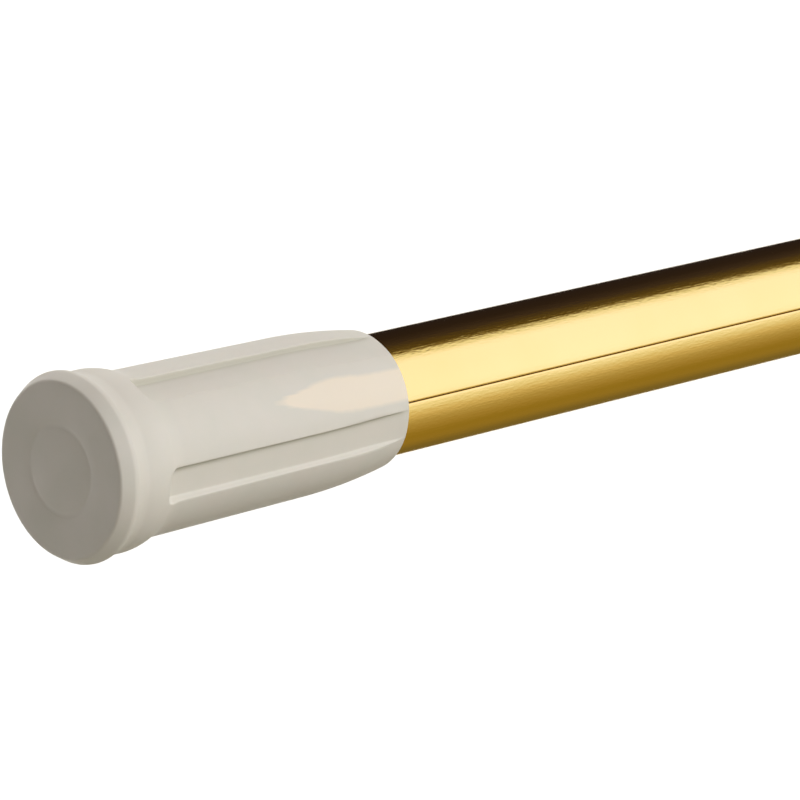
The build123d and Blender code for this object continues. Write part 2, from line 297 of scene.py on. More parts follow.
@dataclass(frozen=True)
class BrassPlate:
    """Brass plate on drawn steel strip, lacquered.

    It is a bright mirror with fine lines along the rod, so reflections stay sharp across it and
    smear a little lengthwise. Thin brown clouds lie under the lacquer, and the lacquer's faint
    orange peel makes the edges of reflections waver. The real lines are finer than a tenth of a
    millimetre, and are drawn as coarse as they need to show.
    """

    colour: str = "#EED398"
    cloud_colour: str = "#E9CC8A"
    cloud_size: float = 28.0
    cloud_range: Pair = (0.4, 0.8)
    cloud_most: float = 0.6
    roughness: float = 0.11
    gloss_spread: Pair = (0.7, 1.4)
    line_spacing: float = 0.35
    line_length: float = 22.0
    line_depth: float = 0.016
    peel_size: Pair = (1.5, 0.5)
    peel_depth: float = 0.032
    coat: float = 0.25
    coat_roughness: float = 0.08

    def stretched_noise(
        self, tree: bpy.types.NodeTree, place: bpy.types.NodeSocket, size: Pair
    ) -> bpy.types.NodeSocket:
        """Makes noise that is drawn out along the rod.

        Args:
            tree: The material's node tree.
            place: Where on the object the point is.
            size: How long and how wide its grains are, in millimetres.

        Returns:
            The noise, from zero to one.
        """
        scale = (1 / (size[0] * MM), 1 / (size[1] * MM), 1 / (size[1] * MM))
        drawn_out = add_node(tree, "Mapping", inputs={"Vector": place, "Scale": scale})
        noise = {"Vector": drawn_out.outputs[0], "Scale": 1.0, "Detail": 3.0}
        return add_node(tree, "TexNoise", inputs=noise).outputs[0]

    def build(self) -> bpy.types.Material:
        """Makes the material.

        Returns:
            Brass plate with drawn lines, clouds and a lacquer coat.
        """
        material, tree, output = new_material("brass_plate_drawn_lacquered")
        place = add_node(tree, "TexCoord").outputs["Object"]
        lines = self.stretched_noise(tree, place, (self.line_length, self.line_spacing))
        peel = self.stretched_noise(tree, place, self.peel_size)
        clouds = add_node(
            tree,
            "TexNoise",
            inputs={"Vector": place, "Scale": 1 / (self.cloud_size * MM), "Detail": 4.0},
        ).outputs[0]
        low, high = self.cloud_range
        cloud_share = add_node(
            tree, "MapRange", inputs={0: clouds, 1: low, 2: high, 3: 0.0, 4: self.cloud_most}
        ).outputs[0]
        colour = add_node(
            tree,
            "Mix",
            {"data_type": "RGBA"},
            {0: cloud_share, 6: linear(self.colour), 7: linear(self.cloud_colour)},
        ).outputs[2]
        smooth_most, rough_most = (self.roughness * share for share in self.gloss_spread)
        gloss = add_node(
            tree,
            "MapRange",
            inputs={0: lines, 1: NOISE_LOW, 2: NOISE_HIGH, 3: smooth_most, 4: rough_most},
        ).outputs[0]
        drawn = add_node(
            tree,
            "Bump",
            inputs={"Strength": 1.0, "Distance": self.line_depth * MM, "Height": lines},
        ).outputs[0]
        wavy = {"Strength": 1.0, "Distance": self.peel_depth * MM, "Height": peel}
        bump = add_node(tree, "Bump", inputs={**wavy, "Normal": drawn}).outputs[0]
        shader = add_node(
            tree,
            "BsdfPrincipled",
            inputs={
                "Base Color": colour,
                "Metallic": 1.0,
                "Roughness": gloss,
                "Normal": bump,
                "Coat Weight": self.coat,
                "Coat Roughness": self.coat_roughness,
            },
        )
        tree.links.new(shader.outputs[0], output.inputs[0])
        return material


@dataclass(frozen=True)
class SoftVinyl:
    """Soft PVC, injection moulded in a satin mould.

    It is matt and a little waxy, so light softens at its edges. Faint clouds from the flow keep it
    from looking flat, a painted warm highlight lies on one land, and painted shade darkens the
    foot of one wall in each pocket. Its grain is drawn coarser than the real one, so that it
    shows.
    """

    colour: str = "#DFDAD1"
    cool_colour: str = "#DBD8CE"
    # colour of the painted warm highlight
    highlight_colour: str = "#F3E7D5"
    # colour of the painted shade at the foot of the pockets' walls
    crease_shade_colour: str = "#C5C2B4"
    cloud_size: float = 9.0
    cloud_range: Pair = (0.35, 0.7)
    # where the painted warm highlight starts and how strongly it shows
    highlight_range: Pair = (0.74, 1.22)
    highlight_most: float = 0.92
    roughness: float = 0.48
    gloss_spread: Pair = (0.88, 1.15)
    grain_size: float = 0.5
    grain_strength: float = 0.12
    grain_depth: float = 0.03
    ior: float = 1.53
    glow_share: float = 0.12
    glow_tint: Triple = (1.0, 0.8, 0.6)
    glow_depth: float = 1.2

    def build(self) -> bpy.types.Material:
        """Makes the material.

        Returns:
            Vinyl with grain, flow clouds, a painted warm highlight and painted shade in the
            creases.
        """
        material, tree, output = new_material("soft_vinyl_moulded")
        place = add_node(tree, "TexCoord").outputs["Object"]
        clouds = add_node(
            tree,
            "TexNoise",
            inputs={"Vector": place, "Scale": 1 / (self.cloud_size * MM), "Detail": 5.0},
        ).outputs[0]
        low, high = self.cloud_range
        cloud_share = add_node(
            tree, "MapRange", inputs={0: clouds, 1: low, 2: high, 3: 0.0, 4: 1.0}
        ).outputs[0]
        plain = add_node(
            tree,
            "Mix",
            {"data_type": "RGBA"},
            {0: cloud_share, 6: linear(self.colour), 7: linear(self.cool_colour)},
        ).outputs[2]
        # Painted warm highlight: its mark, made ragged by the clouds, mixes in a pale warm colour.
        mark = add_node(tree, "Attribute", {"attribute_name": WARM_HIGHLIGHT_MARK}).outputs["Fac"]
        ragged = add_node(
            tree, "Math", {"operation": "ADD"}, {0: mark, 1: clouds}
        ).outputs[0]
        low, high = self.highlight_range
        highlight_share = add_node(
            tree, "MapRange", inputs={0: ragged, 1: low, 2: high, 3: 0.0, 4: self.highlight_most}
        ).outputs[0]
        highlighted = add_node(
            tree,
            "Mix",
            {"data_type": "RGBA"},
            {0: highlight_share, 6: plain, 7: linear(self.highlight_colour)},
        ).outputs[2]
        # Painted shade: the crease mark darkens the foot of one wall in each pocket.
        crease_shade = add_node(tree, "Attribute", {"attribute_name": CREASE_SHADE_MARK}).outputs["Fac"]
        colour = add_node(
            tree,
            "Mix",
            {"data_type": "RGBA"},
            {0: crease_shade, 6: highlighted, 7: linear(self.crease_shade_colour)},
        ).outputs[2]
        grain = add_node(
            tree,
            "TexNoise",
            inputs={"Vector": place, "Scale": 1 / (self.grain_size * MM), "Detail": 2.0},
        ).outputs[0]
        smooth_most, rough_most = (self.roughness * share for share in self.gloss_spread)
        gloss = add_node(
            tree,
            "MapRange",
            inputs={0: clouds, 1: NOISE_LOW, 2: NOISE_HIGH, 3: smooth_most, 4: rough_most},
        ).outputs[0]
        pitted = {"Strength": self.grain_strength, "Distance": self.grain_depth * MM}
        bump = add_node(tree, "Bump", inputs={**pitted, "Height": grain}).outputs[0]
        shader = add_node(
            tree,
            "BsdfPrincipled",
            inputs={
                "Base Color": colour,
                "Roughness": gloss,
                "Normal": bump,
                "IOR": self.ior,
                "Subsurface Weight": self.glow_share,
                "Subsurface Radius": self.glow_tint,
                "Subsurface Scale": self.glow_depth * MM,
            },
        )
        tree.links.new(shader.outputs[0], output.inputs[0])
        return material


@dataclass(frozen=True)
class MouldedPlastic:
    """Hard plastic, injection moulded, with the mould's spark-eroded grain.

    It has an even, dull sheen with a soft highlight, and its tone shifts a little across a piece.
    The grain is drawn coarser than the real one, so that it shows.
    """

    name: str
    colour: str
    shade_colour: str
    roughness: float
    gloss_spread: Pair = (0.85, 1.2)
    grain_size: float = 0.35
    grain_strength: float = 0.15
    grain_depth: float = 0.02
    cloud_size: float = 7.0
    ior: float = 1.5

    def build(self) -> bpy.types.Material:
        """Makes the material.

        Returns:
            Plastic with fine grain and faint clouds.
        """
        material, tree, output = new_material(self.name)
        place = add_node(tree, "TexCoord").outputs["Object"]
        grain = add_node(
            tree,
            "TexNoise",
            inputs={"Vector": place, "Scale": 1 / (self.grain_size * MM), "Detail": 3.0},
        ).outputs[0]
        clouds = add_node(
            tree,
            "TexNoise",
            inputs={"Vector": place, "Scale": 1 / (self.cloud_size * MM), "Detail": 4.0},
        ).outputs[0]
        colour = add_node(
            tree,
            "Mix",
            {"data_type": "RGBA"},
            {0: clouds, 6: linear(self.colour), 7: linear(self.shade_colour)},
        ).outputs[2]
        smooth_most, rough_most = (self.roughness * share for share in self.gloss_spread)
        gloss = add_node(
            tree,
            "MapRange",
            inputs={0: clouds, 1: NOISE_LOW, 2: NOISE_HIGH, 3: smooth_most, 4: rough_most},
        ).outputs[0]
        pitted = {"Strength": self.grain_strength, "Distance": self.grain_depth * MM}
        bump = add_node(tree, "Bump", inputs={**pitted, "Height": grain}).outputs[0]
        shader = add_node(
            tree,
            "BsdfPrincipled",
            inputs={"Base Color": colour, "Roughness": gloss, "Normal": bump, "IOR": self.ior},
        )
        tree.links.new(shader.outputs[0], output.inputs[0])
        return material


@dataclass(frozen=True)
class PlainSteel:
    """Steel as it is turned, drawn or zinc plated.

    Tool marks go round the rod's axis, so highlights break into thin rings, and the plate's faint
    blotches dull it here and there. The marks are drawn coarser than real ones, so that they show.
    """

    name: str
    colour: str
    shade_colour: str
    roughness: float
    gloss_spread: Pair = (0.75, 1.3)
    mark_spacing: float = 0.25
    mark_length: float = 83.3333
    mark_strength: float = 0.2
    mark_depth: float = 0.01
    blotch_size: float = 4.0

    def build(self) -> bpy.types.Material:
        """Makes the material.

        Returns:
            Steel with turning marks and a blotchy plate.
        """
        material, tree, output = new_material(self.name)
        place = add_node(tree, "TexCoord").outputs["Object"]
        round_axis = 1 / (self.mark_length * MM)
        across = (1 / (self.mark_spacing * MM), round_axis, round_axis)
        marks = add_node(
            tree,
            "TexNoise",
            inputs={
                "Vector": add_node(
                    tree, "Mapping", inputs={"Vector": place, "Scale": across}
                ).outputs[0],
                "Scale": 1.0,
                "Detail": 3.0,
            },
        ).outputs[0]
        blotches = add_node(
            tree,
            "TexNoise",
            inputs={"Vector": place, "Scale": 1 / (self.blotch_size * MM), "Detail": 6.0},
        ).outputs[0]
        colour = add_node(
            tree,
            "Mix",
            {"data_type": "RGBA"},
            {0: blotches, 6: linear(self.colour), 7: linear(self.shade_colour)},
        ).outputs[2]
        smooth_most, rough_most = (self.roughness * share for share in self.gloss_spread)
        gloss = add_node(
            tree,
            "MapRange",
            inputs={0: marks, 1: NOISE_LOW, 2: NOISE_HIGH, 3: smooth_most, 4: rough_most},
        ).outputs[0]
        turned = {"Strength": self.mark_strength, "Distance": self.mark_depth * MM}
        bump = add_node(tree, "Bump", inputs={**turned, "Height": marks}).outputs[0]
        shader = add_node(
            tree,
            "BsdfPrincipled",
            inputs={"Base Color": colour, "Metallic": 1.0, "Roughness": gloss, "Normal": bump},
        )
        tree.links.new(shader.outputs[0], output.inputs[0])
        return material


# Sub-assemblies


@dataclass(frozen=True)
class EndCap:
    """A soft cap: wall pad, waist, collar and a sleeve with five grip pockets. Millimetres.

    Points are a place along the rod and a height over the tube, and angles are degrees.
    """

    name: str
    replaced: str
    body: Body
    tube_radius: float
    wall_at: float = 0.0
    turned: bool = False
    length: float = 80.0
    floor: float = 3.0
    pad_radius: float = 18.8
    pad_edge: float = 0.9
    pad_flank_angle: float = 30.0
    pad_crest: float = 1.5
    pad_width: float = 3.0
    pad_back: Point = (0.4, 0.06)
    face_rings: Pair = (4.0, 11.5)
    face_margin: float = 1.5
    waist: Point = (7.0, 5.15)
    collar_end: Point = (13.4, 4.6)
    collar_radius: float = 12.6
    shoulder: Point = (17.5, 3.8)
    shoulder_radius: float = 10.9
    taper_start: Point = (58.0, 3.5)
    taper_radius: float = 140.6
    rear: float = 1.75
    lip_radius: float = 0.9
    lip_flatness: float = 1.02
    bore_gap: float = 0.05
    bore_chamfer: float = 0.2
    bore_ring: float = 6.0
    ring_inner: float = 8.0
    ring_outer: float = 9.4
    ring_depth: float = 0.11
    ring_dish: float = 2.3
    pocket_count: int = 5
    pocket_phase: float = 189.3
    pocket_start: float = 13.9
    pocket_span: float = 24.0
    pocket_margin: float = 2.5
    skin_least: float = 0.5
    wall_depth: float = 0.85
    wall_slope: float = 28.0
    rear_dip: float = 0.75
    dip_from: float = 54.0
    dip_reach: float = 22.0
    # where the painted shade at a pocket wall's foot lies, how wide it is and how deep it reaches
    crease_shade_at: float = 2.95
    crease_shade_width: float = 0.65
    crease_shade_depth: float = 0.3
    corner_radius: float = 1.3
    floor_fillet: float = 0.45
    mouth_round: float = 0.35
    columns: tuple[tuple[float, int], ...] = ((12.9, 12), (8.7, 12), (0.0, 6))
    even_until: float = 8.0
    gathered_from: float = 12.5
    # the painted warm highlight on one land: where it starts and is full, its angle, lean, width
    # and fading edges
    highlight_from: float = 44.0
    highlight_full: float = 68.0
    highlight_at: float = 150.0
    highlight_lean: float = 5.5
    highlight_half: float = 16.5
    highlight_tip: float = 0.25
    highlight_rise: float = 3.0
    highlight_fade: float = 1.6
    highlight_edge: Pair = (0.3, 0.1)
    highlight_least: float = 0.1

    @property
    def facets(self) -> int:
        """How many columns of faces go round the cap."""
        return 2 * self.pocket_count * sum(count for _, count in self.columns)

    def pad_rim(self) -> list[Point]:
        """Draws the wall pad's rim: a small round, a flank that widens and a rounded crest.

        Returns:
            Points from the flat wall face to just behind the crest.
        """
        slant = radians(self.pad_flank_angle)
        edge_end = self.pad_edge * (1 - sin(slant))
        crest = (
            self.pad_width - self.pad_crest * sin(slant),
            self.pad_radius - self.pad_crest * (1 - cos(slant)),
        )
        edge = (edge_end, crest[1] - (crest[0] - edge_end) * tan(slant))
        flat = edge[1] - self.pad_edge * cos(slant)
        points: list[Point] = [(0.0, self.face_rings[1])]
        points += [(0.0, flat - self.face_margin), (0.0, flat)]
        points += arc(points[-1], edge, self.pad_edge, 6)
        points += run(edge, crest, 3)
        points += arc(crest, (self.pad_width, self.pad_radius), self.pad_crest, 4)
        reach, drop = self.pad_back
        behind = (self.pad_width + reach, self.pad_radius - drop)
        return points + arc(points[-1], behind, self.pad_crest, 3)

    def outline(self) -> list[Point]:
        """Draws half the section.

        Returns:
            Points from the middle of the wall face, over the skin and down the bore to its floor.
        """
        tube = self.tube_radius
        middle = (self.ring_inner + self.ring_outer) / 2
        points: list[Point] = [(0.0, 0.0), (0.0, self.face_rings[0])]
        points += [(0.0, self.ring_inner)]
        points += arc(points[-1], (self.ring_depth, middle), -self.ring_dish, 5)
        points += arc(points[-1], (0.0, self.ring_outer), -self.ring_dish, 5)
        points += self.pad_rim()
        waist = (self.waist[0], tube + self.waist[1])
        reach, drop = waist[0] - points[-1][0], points[-1][1] - waist[1]
        points += arc(points[-1], waist, -(reach**2 + drop**2) / (2 * drop), 12)
        points += arc(
            waist, (self.collar_end[0], tube + self.collar_end[1]), self.collar_radius, 14
        )
        shoulder = (self.shoulder[0], tube + self.shoulder[1])
        points += arc(points[-1], shoulder, -self.shoulder_radius, 40)
        taper_start = (self.taper_start[0], tube + self.taper_start[1])
        points += run(shoulder, taper_start, 12)
        lip_start = (self.length - self.lip_radius, tube + self.rear)
        points += arc(taper_start, lip_start, self.taper_radius, 40)
        lip_end = (self.length, lip_start[1] - self.lip_radius)
        points += arc(lip_start, lip_end, self.lip_radius * self.lip_flatness, 6)
        bore = tube + self.bore_gap
        points += [
            (self.length, bore + self.bore_chamfer),
            (self.length - self.bore_chamfer, bore),
            (self.length - self.bore_ring, bore),
            (self.floor, bore),
            (self.floor, 0.0),
        ]
        return points

    def gather_columns(self, mesh: bmesh.types.BMesh) -> None:
        """Draws the columns of faces together where the pockets' walls stand.

        Args:
            mesh: The spun cap, with its columns evenly spaced.
        """
        period = 360 / self.pocket_count
        even_step = 360 / self.facets
        reach = self.gathered_from - self.even_until
        for vert in mesh.verts:
            radius = hypot(vert.co.y, vert.co.z)
            if radius < POINT_MERGE * MM:
                continue
            turn = (degrees(atan2(vert.co.z, vert.co.y)) - self.pocket_phase) % period
            side = 1 if turn < period / 2 else -1
            place = (period / 2 - min(turn, period - turn)) / even_step
            angle = period / 2
            for target, count in self.columns:
                share = min(max(place / count, 0.0), 1.0)
                angle += (target - angle) * share
                place -= count
                if place <= 0:
                    break
            blend = smooth((vert.co.x / MM - self.even_until) / reach)
            even = min(turn, period - turn)
            shift = radians((angle - even) * side * blend)
            vert.co = Matrix.Rotation(shift, 3, "X") @ vert.co

    def pocket_surface(self, along: float, across: float, skin: float) -> float:
        """Finds how high the skin lies in and near a pocket.

        Args:
            along: The place along the cap.
            across: How far it is from the pocket's middle line.
            skin: The height of the skin without the pocket, square to the pocket's floor.

        Returns:
            The height with the pocket.
        """
        sleeve = self.tube_radius + self.taper_start[1]
        half_mouth = sleeve * sin(radians(self.pocket_span / 2))
        floor_at = sleeve * cos(radians(self.pocket_span / 2)) - self.wall_depth
        floor_at -= self.rear_dip * smooth((along - self.dip_from) / self.dip_reach)
        slope = tan(radians(self.wall_slope))
        half_floor = half_mouth - self.wall_depth * slope
        out_side = max(abs(across) - (half_floor - self.corner_radius), 0.0)
        out_front = max(self.pocket_start + self.corner_radius - along, 0.0)
        rise = (hypot(out_side, out_front) - self.corner_radius) / slope
        near = max(self.floor_fillet - abs(rise), 0.0) / self.floor_fillet
        bowl = floor_at + max(rise, 0.0) + near**2 * self.floor_fillet / 4
        near = max(self.mouth_round - abs(bowl - skin), 0.0) / self.mouth_round
        return min(bowl, skin) - near**2 * self.mouth_round / 4

    def sink_pockets(self, mesh: bmesh.types.BMesh) -> None:
        """Sinks the grip pockets into the sleeve's skin and paints shade along one wall's foot.

        Args:
            mesh: The spun cap, with its columns gathered.
        """
        period = 360 / self.pocket_count
        skin_from = self.tube_radius + self.skin_least
        near_pockets = self.pocket_start - self.pocket_margin
        layer = mesh.verts.layers.float.new(CREASE_SHADE_MARK)
        for vert in mesh.verts:
            radius = hypot(vert.co.y, vert.co.z) / MM
            along = vert.co.x / MM
            if radius < skin_from or along < near_pockets:
                continue
            turn = degrees(atan2(vert.co.z, vert.co.y)) - self.pocket_phase
            number = round(turn / period)
            middle = radians(self.pocket_phase + number * period)
            offset = radians(turn - number * period)
            across = radius * sin(offset)
            skin = radius * cos(offset)
            height = self.pocket_surface(along, across, skin)
            # Painted shade: strongest at the foot of one wall, fading out where the skin is barely
            # sunk.
            foot = (across + self.crease_shade_at) / self.crease_shade_width
            vert[layer] = exp(-(foot**2)) * smooth((skin - height) / self.crease_shade_depth)
            vert.co.y = (height * cos(middle) - across * sin(middle)) * MM
            vert.co.z = (height * sin(middle) + across * cos(middle)) * MM

    def mark_warm_highlight(self, mesh: bmesh.types.BMesh) -> None:
        """Marks a painted warm highlight on one land near the rear end.

        It starts in a tip, widens until it is full and leans a little round the cap.

        Args:
            mesh: The spun cap, before its pockets are sunk.
        """
        layer = mesh.verts.layers.float.new(WARM_HIGHLIGHT_MARK)
        reach = self.highlight_full - self.highlight_from
        front, side = self.highlight_edge
        for vert in mesh.verts:
            rise = min((vert.co.x / MM - self.highlight_from) / reach, 1.0)
            turn = degrees(atan2(vert.co.z, vert.co.y)) - self.highlight_at - self.highlight_lean * rise
            half = self.highlight_half * max(smooth(self.highlight_tip + rise), self.highlight_least)
            across = 1 - abs(turn) / half
            ahead = smooth(rise * self.highlight_rise + front)
            vert[layer] = ahead * smooth(side + across * self.highlight_fade)

    def build(self, material: bpy.types.Material) -> bpy.types.Object:
        """Builds the cap and dresses it.

        Args:
            material: The cap's vinyl.

        Returns:
            The cap.
        """
        mesh = bmesh.new()
        line = draw_line(mesh, self.outline(), radians(self.pocket_phase))
        spin_about_rod(mesh, line, self.facets)
        self.gather_columns(mesh)
        self.mark_warm_highlight(mesh)
        self.sink_pockets(mesh)
        if self.turned:
            bmesh.ops.rotate(
                mesh, verts=mesh.verts[:], cent=(0, 0, 0), matrix=Matrix.Rotation(pi, 3, "Z")
            )
        bmesh.ops.translate(mesh, verts=mesh.verts[:], vec=(self.wall_at * MM, 0, 0))
        bmesh.ops.recalc_face_normals(mesh, faces=mesh.faces[:])
        return finish_piece(mesh, self.name, self.body, material, self.replaced)


@dataclass(frozen=True)
class RolledTube:
    """A tube rolled from plated strip, whose edges meet in a hairline seam. Millimetres."""

    name: str
    replaced: str
    body: Body
    radius: float
    start: float
    end: float
    seam_angle: float
    wall: float = 0.6
    seam_gap: float = 0.17
    edge_round: float = 0.27
    bead_places: tuple[float, ...] = ()
    bead_depth: float = 0.8
    bead_half_width: float = 1.2
    bead_half_root: float = 0.3
    facets: int = 168

    def outline(self) -> list[Point]:
        """Draws the outer skin's line along the rod.

        Returns:
            Points from one end to the other, with the beads' dips.
        """
        points: list[Point] = [(self.start, self.radius)]
        for place in self.bead_places:
            root = self.radius - self.bead_depth
            points += [
                (place - self.bead_half_width, self.radius),
                (place - self.bead_half_root, root),
                (place + self.bead_half_root, root),
                (place + self.bead_half_width, self.radius),
            ]
        points.append((self.end, self.radius))
        return points

    def build(self, material: bpy.types.Material) -> bpy.types.Object:
        """Builds the tube and dresses it.

        Args:
            material: The tube's plate.

        Returns:
            The tube.
        """
        mesh = bmesh.new()
        gap = self.seam_gap / self.radius
        first = radians(self.seam_angle) + gap / 2
        line = draw_line(mesh, self.outline(), first)
        spin_about_rod(mesh, line, self.facets, FULL_TURN - gap)
        for face in mesh.faces:
            middle = face.calc_center_median()
            if face.normal.dot(Vector((0, middle.y, middle.z))) < 0:
                face.normal_flip()
        bmesh.ops.solidify(mesh, geom=mesh.faces[:], thickness=self.wall * MM)
        seam = [
            edge
            for edge in mesh.edges
            if edge.is_manifold and edge.calc_face_angle() > SQUARE_EDGE
        ]
        bmesh.ops.bevel(
            mesh,
            geom=seam,
            offset=self.edge_round * MM,
            affect="EDGES",
            segments=3,
            profile=0.5,
            material=-1,
        )
        return finish_piece(mesh, self.name, self.body, material, self.replaced)


@dataclass(frozen=True)
class MouthBush:
    """The turned-looking ring in the large tube's mouth. Millimetres."""

    name: str = "mouth_bush_ring"
    replaced: str = "mouth_bush"
    tube_end: float = 942.0
    lip: float = 3.0
    skirt: float = 14.0
    lip_radius: float = 13.7
    skirt_radius: float = 12.05
    bore_radius: float = 11.4
    nose_round: float = 1.0
    edge_round: float = 0.25
    facets: int = 144

    def build(self, material: bpy.types.Material) -> bpy.types.Object:
        """Builds the bush and dresses it.

        Args:
            material: The bush's plastic.

        Returns:
            The bush.
        """
        inner = self.tube_end - self.skirt
        outer = self.tube_end + self.lip
        small = self.edge_round
        points: list[Point] = [(inner + small, self.bore_radius)]
        points += run(points[-1], (outer - small, self.bore_radius), 6)
        points += arc(points[-1], (outer, self.bore_radius + small), small, 3)
        points += [(outer, self.lip_radius - self.nose_round)]
        points += arc(
            points[-1], (outer - self.nose_round, self.lip_radius), -self.nose_round, 6
        )
        points += [(self.tube_end + small, self.lip_radius)]
        points += arc(points[-1], (self.tube_end, self.lip_radius - small), -small, 3)
        points += [(self.tube_end, self.skirt_radius), (inner + small, self.skirt_radius)]
        points += arc(points[-1], (inner, self.skirt_radius - small), -small, 3)
        points += [(inner, self.bore_radius + small), points[0]]
        mesh = bmesh.new()
        spin_about_rod(mesh, draw_line(mesh, points), self.facets)
        return finish_piece(mesh, self.name, Body.OUTER, material, self.replaced)


@dataclass(frozen=True)
class CoilSpring:
    """The compression spring, wound of round wire with ground ends. Millimetres."""

    name: str = "tension_spring_coil"
    replaced: str = "tension_spring"
    start: float = 144.9
    length: float = 100.0
    turns: int = 8
    ground_turns: int = 2
    coil_radius: float = 8.0
    wire_radius: float = 0.8
    wire_facets: int = 16
    steps_a_turn: int = 48
    joint: str = "spring_travel"
    keep: float = 0.6

    def build(self, material: bpy.types.Material) -> bpy.types.Object:
        """Builds the spring and dresses it.

        It is wound a turn too long at both ends, which are then ground off square.

        Args:
            material: The spring's wire.

        Returns:
            The spring.
        """
        pitch = self.length / self.turns
        whole_turns = self.turns + self.ground_turns
        mesh = bmesh.new()
        circle = bmesh.ops.create_circle(
            mesh, segments=self.wire_facets, radius=self.wire_radius * MM, cap_ends=False
        )["verts"]
        lead = atan2(pitch, FULL_TURN * self.coil_radius)
        bmesh.ops.rotate(mesh, verts=circle, cent=(0, 0, 0), matrix=Matrix.Rotation(lead, 3, "Y"))
        bmesh.ops.translate(
            mesh, verts=circle, vec=((self.start - pitch) * MM, self.coil_radius * MM, 0)
        )
        steps = whole_turns * self.steps_a_turn
        bmesh.ops.spin(
            mesh,
            geom=mesh.verts[:] + mesh.edges[:],
            cent=(0, 0, 0),
            axis=(1, 0, 0),
            dvec=(pitch / self.steps_a_turn * MM, 0, 0),
            angle=whole_turns * FULL_TURN,
            steps=steps,
            use_merge=False,
        )
        for place, normal in ((self.start, -1), (self.start + self.length, 1)):
            cut = bmesh.ops.bisect_plane(
                mesh,
                geom=mesh.verts[:] + mesh.edges[:] + mesh.faces[:],
                plane_co=(place * MM, 0, 0),
                plane_no=(normal, 0, 0),
                clear_outer=True,
            )["geom_cut"]
            rim = [item for item in cut if isinstance(item, bmesh.types.BMEdge)]
            bmesh.ops.holes_fill(mesh, edges=rim, sides=0)
        bmesh.ops.recalc_face_normals(mesh, faces=mesh.faces[:])
        piece = finish_piece(
            mesh, self.name, Body.PLUNGER, material, self.replaced
        )
        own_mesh(piece)
        return piece


@dataclass(frozen=True)
class FrameNodes:
    """The CAD nodes whose own shapes stay, by the finish that they get."""

    nodes: tuple[tuple[str, Slot], ...] = (
        ("large_end_plug", Slot.WHITE),
        ("small_end_plug", Slot.WHITE),
        ("lock_sleeve", Slot.GREY),
        ("plunger_shank", Slot.GREY),
        ("retaining_bush", Slot.GREY),
        ("wedge_nut", Slot.BLACK),
        ("spring_seat", Slot.BLACK),
        ("spring_stop", Slot.BLACK),
        ("lock_stud", Slot.ZINC),
        ("thrust_washer", Slot.ZINC),
        ("stop_washer", Slot.ZINC),
        ("stud_clip", Slot.SPRING),
        ("seat_clip", Slot.SPRING),
        ("shank_pin", Slot.SPRING),
    )

    def dress(self, frame: dict, finishes: dict[Slot, bpy.types.Material]) -> None:
        """Gives each node its finish.

        Args:
            finishes: Materials by slot.
        """
        for name, slot in self.nodes:
            node = frame["nodes"][name]
            node.data.materials.clear()
            node.data.materials.append(finishes[slot])
            LOG.info("%s: dressed in %s", name, slot.value)


# Studio


